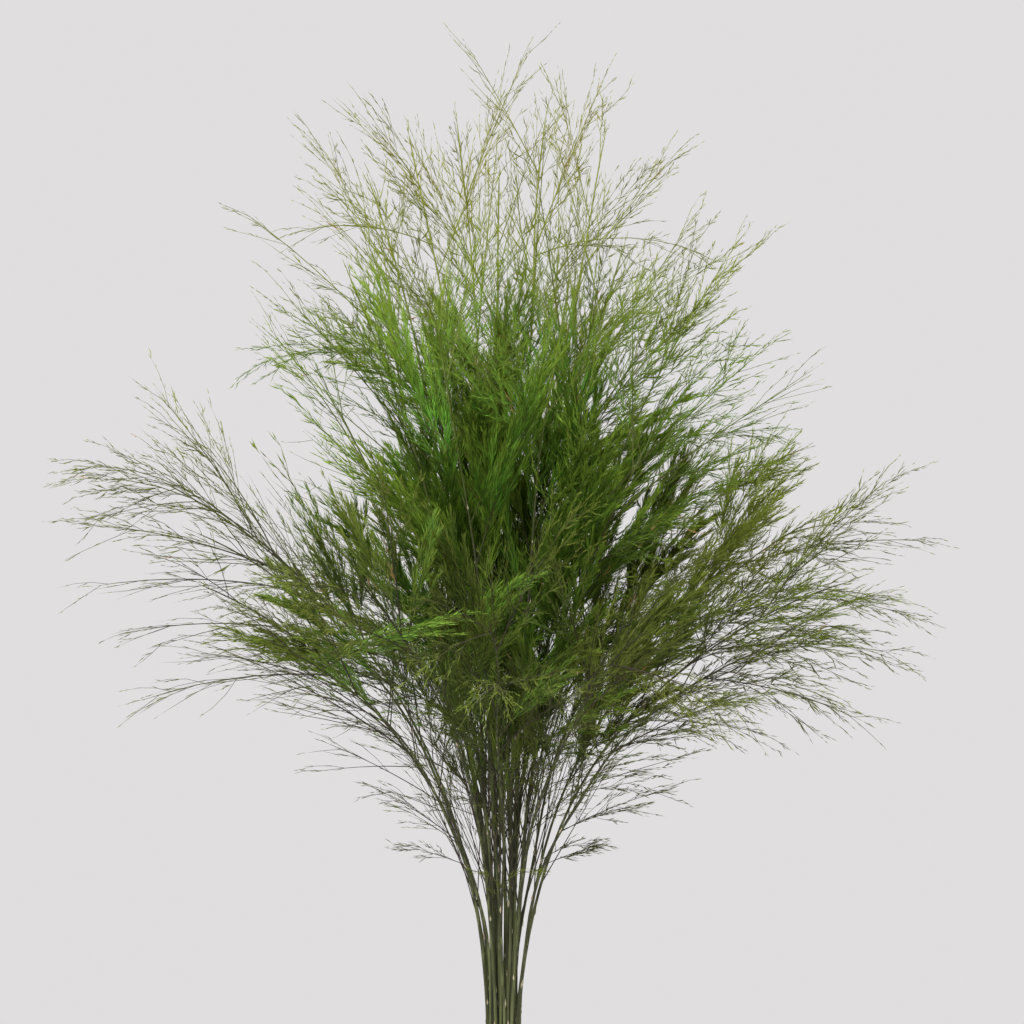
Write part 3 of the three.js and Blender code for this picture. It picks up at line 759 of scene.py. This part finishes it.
def growFine(stem, number):
    # Smooth stalk, sprays, twigs, twiglets and needles of one stem, as one sheaf.
    rng = np.random.default_rng(fineGrowth["seed"] + number)
    sheaf = Sheaf()
    stalkPoint = strayingStalk(stem, rng)
    addStalk(sheaf, stem, stalkPoint, rng)
    leafiness = fineGrowth["leafiness"].get(number, 1.0)
    shown = [spray for spray in fineGrowth["shown"] if spray[0] == number]
    paths, length, habit = growSprays(stem, stalkPoint, leafiness, shown, rng)
    tone = 0.05 + 0.8 * rng.random(len(paths)) ** 1.2 + 0.3 * (rng.random(len(paths)) < 0.15)
    yellow = 0.5 * rng.random(len(paths)) ** 3
    isYoung = (np.arange(len(paths)) >= len(paths) - len(shown)) & (habit == plumeHabit)
    tone[isYoung], yellow[isYoung] = fineGrowth["youngTone"], fineGrowth["youngYellow"]
    sprays = {"paths": paths, "habit": habit, "tone": tone, "yellow": yellow}
    # Painted shade: a spray's tone is lowered deep in the clump.
    shade = tone - paintedDepthShade(paths[:, fineGrowth["sprayPoints"] // 2])
    addBranches(sheaf, paths, length, shade, branches["spray"])
    twigs, onSpray, twigShare = growTwigs(stem, paths, length, habit, rng)
    hosts = gatherHosts(stalkPoint, sprays, twigs, onSpray, twigShare, leafiness, rng)
    addBranches(sheaf, twigs, hosts["length"][:len(twigs)], hosts["tone"][:len(twigs)], branches["twig"])
    addNeedles(sheaf, hosts, addTwiglets(sheaf, hosts, rng), rng)
    return sheaf.whole()


# Finishes

class Wire:
    # A node's output socket. Arithmetic on it, with another wire or with a number, adds Math nodes.
    def __init__(self, finish, socket):
        self.finish, self.socket = finish, socket

    def combine(self, operation, first, second):
        return self.finish.make("ShaderNodeMath", {"operation": operation}, {0: first, 1: second})

    def __add__(self, other):
        return self.combine("ADD", self, other)

    def __mul__(self, other):
        return self.combine("MULTIPLY", self, other)

    def __rsub__(self, other):
        return self.combine("SUBTRACT", other, self)

    __radd__, __rmul__ = __add__, __mul__


class Finish:
    # A material built up node by node.
    def __init__(self, name):
        self.material = bpy.data.materials.new(name)
        self.material.use_nodes = True
        self.tree = self.material.node_tree
        self.tree.nodes.clear()

    def make(self, kind, settings=None, inputs=None, output=0):
        # Adds a node: its settings first, then its inputs' values or wires. Gives one of its outputs.
        node = self.tree.nodes.new(kind)
        for key, value in (settings or {}).items():
            if key == "stops":
                self.setStops(node.color_ramp.elements, value)
            else:
                setattr(node, key, value)
        for key, value in (inputs or {}).items():
            if isinstance(value, Wire):
                self.tree.links.new(value.socket, node.inputs[key])
            else:
                node.inputs[key].default_value = value
        return Wire(self, node.outputs[output]) if node.outputs else None

    def setStops(self, elements, stops):
        for place, colour in stops[2:]:
            elements.new(place)
        for element, (place, colour) in zip(elements, stops):
            element.position, element.color = place, colour

    def ramp(self, share, *stops):
        # Colours at places from 0 to 1, blended between.
        stops = [(place, (*colour, 1.0)) for place, colour in stops]
        return self.make("ShaderNodeValToRGB", {"stops": stops}, {0: share})

    def step(self, value, low, high):
        # 0 below low and 1 above high, with a straight slope between.
        return self.make("ShaderNodeMapRange", {"clamp": True}, {0: value, 1: low, 2: high})

    def blend(self, share, first, second, how="MIX"):
        # The first colour, with the second mixed in or laid over it by a share.
        colours = [value if isinstance(value, Wire) else (*value, 1.0) for value in (first, second)]
        settings = {"data_type": "RGBA", "blend_type": how, "clamp_factor": True}
        return self.make("ShaderNodeMix", settings, {0: share, 6: colours[0], 7: colours[1]}, 2)

    def noise(self, place, scale, detail=3.0, roughness=0.5):
        return self.make("ShaderNodeTexNoise", {}, {"Vector": place, "Scale": scale, "Detail": detail,
                                                    "Roughness": roughness})

    def place(self):
        return self.make("ShaderNodeTexCoord", output=3)

    def bump(self, height, distance, strength=1.0):
        inputs = {"Strength": strength, "Distance": distance, "Height": height}
        return self.make("ShaderNodeBump", {}, inputs)

    def skin(self, inputs):
        shader = self.make("ShaderNodeBsdfPrincipled", {}, inputs)
        self.make("ShaderNodeOutputMaterial", {}, {"Surface": shader})
        return self.material


# The green of each ring of stems, linear: in the depths, where it is fresh, and at the needles' tips.
greens = {
    "upper_foliage": {
        "deep": (0.022, 0.046, 0.004), "fresh": (0.118, 0.225, 0.018), "tip": (0.22, 0.29, 0.035)},
    "middle_foliage": {
        "deep": (0.012, 0.031, 0.003), "fresh": (0.108, 0.240, 0.018), "tip": (0.21, 0.31, 0.03)},
    "outer_foliage": {
        "deep": (0.019, 0.034, 0.005), "fresh": (0.124, 0.218, 0.023), "tip": (0.23, 0.28, 0.04)},
}
# What the green turns to high up in the light.
weathered = {"deep": (0.055, 0.063, 0.009), "fresh": (0.150, 0.170, 0.019), "tip": (0.25, 0.27, 0.032)}
youngGreenAndHighlight = (0.165, 0.370, 0.045)  # the brightest green, of needles that have just grown, also a painted highlight
barks = {"stem": (0.070, 0.081, 0.036), "lime": (0.22, 0.25, 0.10), "twig": (0.112, 0.080, 0.066),
         "shaded": (0.041, 0.035, 0.024), "straw": (0.50, 0.44, 0.30), "dry": (0.34, 0.20, 0.085),
         "olive": (0.095, 0.105, 0.036)}


def foliageFinish(slot):
    # Needles, twigs and stalk in one: the tint layer says which is which, how fresh and how yellow.
    finish = Finish(slot)
    green = greens[slot]
    tint = finish.make("ShaderNodeAttribute", {"attribute_name": "tint"})
    dry = finish.make("ShaderNodeAttribute", {"attribute_name": "tint"}, output=3)
    kind, tone, tip = (finish.make("ShaderNodeSeparateColor", {}, {0: tint}, k) for k in range(3))
    place = finish.place()
    height = finish.make("ShaderNodeSeparateXYZ", {}, {0: place}, 2)
    patches = finish.step(finish.noise(place, 9.0, 2.0), 0.35, 0.65)
    mottle = finish.noise(place, 160.0, 2.0)
    # The tone holds painted shade and painted light; the patches are the green's own uneven freshness.
    fresh = tone * 0.65 + patches * 0.35
    high = finish.step(height, 0.70, 0.86) * 0.9
    deep, fair, end = (finish.blend(high, green[key], weathered[key]) for key in ("deep", "fresh", "tip"))
    leaf = finish.blend(fresh, deep, fair)
    # The distance from a point 600 mm up in the clump, 1 on an egg shape 280 mm wide, 400 mm deep and
    # 340 mm tall: the green is fullest inside it and browner outside.
    egg = finish.make("ShaderNodeMapping", {}, {"Vector": place, "Location": (0.142, 0.0, -3.53),
                                                "Scale": (7.1, 5.0, 5.88)})
    distance = finish.make("ShaderNodeVectorMath", {"operation": "LENGTH"}, {0: egg}, 1)
    heart, outer = finish.step(distance, 1.0, 0.5), finish.step(distance, 0.85, 1.5)
    # Partly painted highlight: needles of the highest tone, the shown plumes among them, take the
    # brightest green.
    leaf = finish.blend(finish.step(tone, 0.84, 1.0) * (0.7 - outer * 0.45), leaf, youngGreenAndHighlight)
    aside = finish.make("ShaderNodeMapping", {}, {"Vector": place, "Location": (3.0, 5.0, 2.0)})
    cool = finish.step(finish.noise(aside, 8.0, 2.0), 0.52, 0.64)
    warm = finish.step(finish.noise(place, 11.0, 2.0), 0.50, 0.62)
    leaf = finish.blend(cool * (0.6 - outer * 0.45), leaf, (0.68, 1.0, 1.3), "MULTIPLY")
    leaf = finish.blend(warm * 0.5, leaf, (1.25, 0.97, 0.85), "MULTIPLY")
    leaf = finish.blend(heart * 0.8, leaf, (0.86, 1.12, 1.0), "MULTIPLY")
    leaf = finish.blend(outer, leaf, (1.27, 0.94, 1.0), "MULTIPLY")
    leaf = finish.blend(tip * finish.step(height, 0.35, 0.85) + tip * 0.35, leaf, end)
    leaf = finish.blend(finish.step(height, 0.54, 0.34) * (0.75 - fresh * 0.7), leaf, barks["olive"])
    # Lime streaks along the stalk: partly its own colour, partly painted highlight.
    stretched = finish.make("ShaderNodeMapping", {}, {"Vector": place, "Scale": (420.0, 420.0, 14.0)})
    limeStreaksAndHighlights = finish.step(finish.noise(stretched, 1.0, 2.0), 0.48, 0.60)
    stalk = finish.blend(limeStreaksAndHighlights * 0.7, barks["stem"], barks["lime"])
    bark = finish.blend(finish.step(kind, 0.02, 0.22), stalk, barks["twig"])
    # Painted shade, partly the twigs' own dark brown: bark turns to the shaded colour where the tone is
    # low and at the heights where the foliage stands round it.
    bark = finish.blend(finish.step(tone, 0.6, 0.1) * 0.8, bark, barks["shaded"])
    among = finish.step(height, 0.42, 0.52) * finish.step(height, 0.76, 0.62)
    bark = finish.blend(among * 0.75, bark, barks["shaded"])
    bark = finish.blend(mottle * 0.5, bark, (0.05, 0.05, 0.03))
    bark = finish.blend(finish.step(height, 0.55, 0.8) * 0.75, bark, end)
    colour = finish.blend(finish.step(kind, 0.3, 0.85), bark, leaf)
    colour = finish.blend(finish.step(dry, 0.1, 0.5), colour, barks["dry"])
    colour = finish.blend(finish.step(dry, 0.7, 0.95), colour, barks["straw"])
    return finish.skin({
        "Base Color": colour,
        "Roughness": 0.55 + mottle * 0.2,
        "Specular IOR Level": 0.12,
        "Normal": finish.bump(mottle, 0.0003, 0.5),
    })


# Foliage pieces

finishes = {ring["slot"]: foliageFinish(ring["slot"]) for ring in rings}
triangleTotal = 0
for number, stem in enumerate(stems, 1):
    node = f"leafy_stem_{number:02d}"
    points, triangles, tint = growFine(stem, number)
    piece = makePiece(f"feathery_stem_{number:02d}", points, triangles, tint)
    piece.data.materials.append(finishes[stem["slot"]])
    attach(piece, "root")
    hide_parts(node)
    triangleTotal += len(triangles)
print("foliage:", triangleTotal, "triangles")


# Pot and soil

pot = {
    "height": 190.0,
    "baseRadius": 76.0,
    "topRadius": 100.0,
    "wall": 5.0,
    "floor": 7.0,
    "rimHeight": 26.0,
    "rimProud": 4.0,
    "edge": 1.5,  # height of the slope under the rim band
    "rounding": 2.6,
    "roundingSteps": 6,
    "segments": 120,
}
soil = {
    "belowRim": 13.0,
    "aboveFloor": 0.3,
    "dome": 5.0,
    "gap": 0.35,
    "flatSide": 0.9937,  # the solid pot's flat sides are nearer the axis than its corners by this share
    "rings": 46,
    "segments": 96,
    "crumbs": 420,
    "crumbSize": (1.6, 5.2),
}


def potRadiusAt(height):
    # The pot's outer radius, which grows evenly with the height.
    return pot["baseRadius"] + (pot["topRadius"] - pot["baseRadius"]) * height / pot["height"]


def roundedLine(corners, turn, steps):
    # A line through the corners, each inner corner replaced by a quadratic curve that starts and
    # ends turn away from it, or half of the shorter side where that is less.
    corners = np.array(corners, float)
    line = [corners[:1]]
    t = np.linspace(0, 1, steps)[:, None]
    for before, corner, after in zip(corners, corners[1:], corners[2:]):
        reach = min(turn, 0.45 * np.linalg.norm(corner - before), 0.45 * np.linalg.norm(after - corner))
        start = corner + unit(before - corner) * reach
        end = corner + unit(after - corner) * reach
        line.append(start * (1 - t) ** 2 + corner * 2 * t * (1 - t) + end * t ** 2)
    line.append(corners[-1:])
    return np.concatenate(line)


def mounds(x, y):
    # Low swells in the soil's top: a sine across it times a cosine along it, and a sine at a slant.
    return 1.2 * (np.sin(0.11 * x + 1.3) * np.cos(0.13 * y) + 0.5 * np.sin(0.19 * (x - y)))


def turnProfile(profile, segments):
    # The profile's (radius, height) rows carried round the axis, on which the first and last row lie.
    rows = profile[1:-1]
    angle = 2 * math.pi * np.arange(segments) / segments
    rings = np.stack([rows[:, :1] * np.cos(angle), rows[:, :1] * np.sin(angle),
                      np.repeat(rows[:, 1:], segments, axis=1)], -1).reshape(-1, 3)
    ends = np.array([[0, 0, profile[0, 1]], [0, 0, profile[-1, 1]]])
    around, nextAround = np.arange(segments), (np.arange(segments) + 1) % segments
    last = (len(rows) - 1) * segments
    foot = np.stack([nextAround, around, np.full(segments, len(rings))], -1)
    head = np.stack([last + around, last + nextAround, np.full(segments, len(rings) + 1)], -1)
    triangles = np.concatenate([bandTriangles(len(rows) - 1, segments), foot, head])
    return np.concatenate([rings, ends]), triangles


def potFinish():
    # Matt stone-grey clay: cloudy tone, fine dark and pale grains, faint turning marks.
    finish = Finish("pot")
    place = finish.place()
    height = finish.make("ShaderNodeSeparateXYZ", {}, {0: place}, 2)
    clouds = finish.noise(place, 14.0, 4.0)
    grain = finish.noise(place, 900.0, 2.0)
    colour = finish.ramp(clouds, (0.3, (0.50, 0.47, 0.43)), (0.7, (0.62, 0.60, 0.56)))
    colour = finish.blend(finish.step(grain, 0.66, 0.72) * 0.5, colour, (0.20, 0.18, 0.16))
    colour = finish.blend(finish.step(grain, 0.34, 0.28) * 0.4, colour, (0.80, 0.78, 0.74))
    # Darker towards the bottom, within about 34 mm of the floor.
    darkerTowardsBottom = finish.step(height + clouds * 0.02, 0.034, 0.014)
    colour = finish.blend(darkerTowardsBottom * 0.25, colour, (0.32, 0.29, 0.25))
    stretched = finish.make("ShaderNodeMapping", {}, {"Vector": place, "Scale": (2.0, 2.0, 260.0)})
    turning = finish.noise(stretched, 1.0, 2.0)
    return finish.skin({
        "Base Color": colour,
        "Roughness": 0.68 + clouds * 0.2,
        "Specular IOR Level": 0.35,
        "Normal": finish.bump(turning * 0.7 + grain * 0.3, 0.0006),
    })


def soilFinish(name, pale):
    # Dark damp peat with paler fibres.
    finish = Finish(name)
    place = finish.place()
    lumps = finish.noise(place, 60.0, 4.0)
    fine = finish.noise(place, 420.0, 3.0)
    colour = finish.ramp(lumps * 0.6 + fine * 0.4, (0.3, (0.018, 0.012, 0.008)), (0.62, pale))
    colour = finish.blend(finish.step(fine, 0.64, 0.7) * 0.6, colour, (0.16, 0.11, 0.065))
    return finish.skin({
        "Base Color": colour,
        "Roughness": 0.82 + fine * 0.15,
        "Specular IOR Level": 0.25,
        "Normal": finish.bump(fine, 0.0012),
    })


bandFoot = pot["height"] - pot["rimHeight"]
potCorners = [
    (0, 0),
    (pot["baseRadius"], 0),
    (potRadiusAt(bandFoot), bandFoot),
    (potRadiusAt(bandFoot) + pot["rimProud"], bandFoot + pot["edge"]),
    (pot["topRadius"] + pot["rimProud"], pot["height"]),
    (pot["topRadius"] - pot["wall"], pot["height"]),
    (potRadiusAt(pot["floor"]) - pot["wall"], pot["floor"]),
    (0, pot["floor"]),
]
potLine = roundedLine(potCorners, pot["rounding"], pot["roundingSteps"])
points, triangles = turnProfile(potLine, pot["segments"])
potPiece = makePiece("clay_pot", points, triangles, smooth=True)
potPiece.data.materials.append(potFinish())
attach(potPiece, "root")
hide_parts("pot")

soilTop = pot["height"] - soil["belowRim"]
foot = pot["floor"] + soil["aboveFloor"]
footRadius = (potRadiusAt(foot) - pot["wall"]) * soil["flatSide"] - soil["gap"]
topRadius = (potRadiusAt(soilTop - soil["dome"]) - pot["wall"]) * soil["flatSide"] - soil["gap"]
share = np.linspace(1, 0, soil["rings"])
profile = np.concatenate([
    [[0, foot], [footRadius, foot]],
    np.stack([topRadius * share, soilTop - soil["dome"] * share ** 2], -1),
])
points, triangles = turnProfile(profile, soil["segments"])
x, y = points[:, 0], points[:, 1]
lump = mounds(x, y)  # with finer lumps on it
lump += 0.55 * np.sin(0.41 * x + 0.8 * np.sin(0.23 * y)) * np.sin(0.37 * y + 0.4)
lump += 0.4 * np.sin(0.93 * x + 2 * np.sin(0.31 * y)) * np.sin(0.87 * y + 1.1 * np.sin(0.4 * x))
onTop = points[:, 2] > soilTop - soil["dome"] - 0.1
points[:, 2] += np.where(onTop, lump, 0)
soilPiece = makePiece("potting_soil", points, triangles, smooth=True)
soilPiece.data.materials.append(soilFinish("soil", (0.060, 0.040, 0.026)))
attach(soilPiece, "root")
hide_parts("soil")


def crumbShapes(rng, centres, sizes):
    # Lumpy eight-cornered crumbs: the corners of a squashed cube, each moved at random.
    corners = np.array([[i, j, k] for i in (-1, 1) for j in (-1, 1) for k in (-1, 1)], float)
    faces = np.array([[0, 1, 3], [0, 3, 2], [4, 6, 7], [4, 7, 5], [0, 4, 5], [0, 5, 1],
                      [2, 3, 7], [2, 7, 6], [0, 2, 6], [0, 6, 4], [1, 5, 7], [1, 7, 3]])
    shape = corners[None] * (0.55 + 0.5 * rng.random((len(centres), 8, 3)))
    shape *= sizes[:, None] * 0.5
    turn = 2 * math.pi * rng.random(len(centres))
    cosine, sine = np.cos(turn)[:, None], np.sin(turn)[:, None]
    x, y = shape[..., 0] * cosine - shape[..., 1] * sine, shape[..., 0] * sine + shape[..., 1] * cosine
    return np.stack([x, y, shape[..., 2]], -1) + centres[:, None], faces


rng = np.random.default_rng(fineGrowth["seed"])
count = soil["crumbs"]
spot = np.sqrt(rng.random(count)) * (topRadius - 3)
turn = 2 * math.pi * rng.random(count)
x, y = spot * np.cos(turn), spot * np.sin(turn)
ground = soilTop - soil["dome"] * (spot / topRadius) ** 2
ground += mounds(x, y)
low, high = soil["crumbSize"]
size = low + (high - low) * rng.random(count) ** 2
shares = [np.ones(count), 0.5 + 0.4 * rng.random(count), 0.45 + 0.3 * rng.random(count)]
sizes = size[:, None] * np.stack(shares, -1)
points, triangles = crumbShapes(rng, np.stack([x, y, ground + 0.1 * size], -1), sizes)
crumbs = Sheaf()
crumbs.add(points, triangles, np.ones((count, 4)))
points, triangles, _ = crumbs.whole()
crumbPiece = makePiece("soil_crumbs", points, triangles)
crumbPiece.data.materials.append(soilFinish("crumbs", (0.11, 0.072, 0.042)))
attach(crumbPiece, "root")
print("pot and soil made")


# Floor, light and background

studio = {
    "background": (0.745, 0.730, 0.737),
    "floorColour": (0.47, 0.46, 0.465),
    "floorRadius": 1.35,
    "floorFade": 0.15,  # metres from the axis where it begins to turn into the background
    "keyPlace": (-0.5, -2.4, 2.7),
    "keySize": 1.1,
    "keyPower": 125.0,
    "aim": (0.0, 0.0, 0.55),
}


def floorFinish():
    # Pale and plain round the pot, and turning further out into the background's own light.
    finish = Finish("floor")
    distance = finish.make("ShaderNodeVectorMath", {"operation": "LENGTH"}, {0: finish.place()}, 1)
    away = finish.step(distance, studio["floorFade"], studio["floorRadius"] * 0.9)
    return finish.skin({
        "Base Color": finish.blend(away, studio["floorColour"], (0.0, 0.0, 0.0)),
        "Roughness": 1.0,
        "Specular IOR Level": 0.0,
        "Emission Color": finish.blend(away, (0.0, 0.0, 0.0), studio["background"]),
        "Emission Strength": 1.0,
    })


edge = studio["floorRadius"] * 1000
points, triangles = turnProfile(np.array([[0, -1.0], [edge, -1.0], [edge, 0], [0, 0]]), 96)
floor = makePiece("floor", points, triangles)
floor.data.materials.append(floorFinish())

world = bpy.data.worlds.new("studio")
bpy.context.scene.world = world
world.use_nodes = True
world.node_tree.nodes["Background"].inputs["Color"].default_value = (*studio["background"], 1.0)
world.node_tree.nodes["Background"].inputs["Strength"].default_value = 1.0
bpy.context.scene.view_settings.view_transform = "Standard"

lightData = bpy.data.lights.new("softbox", "AREA")
lightData.size = studio["keySize"]
lightData.energy = studio["keyPower"]
light = bpy.data.objects.new("softbox", lightData)
light.location = studio["keyPlace"]
toAim = np.array(studio["aim"]) - np.array(studio["keyPlace"])
level = math.hypot(toAim[0], toAim[1])
light.rotation_euler = (math.pi / 2 - math.atan2(-toAim[2], level), 0.0, math.atan2(-toAim[0], toAim[1]))
light.visible_camera = False
bpy.context.scene.collection.objects.link(light)

print("done")
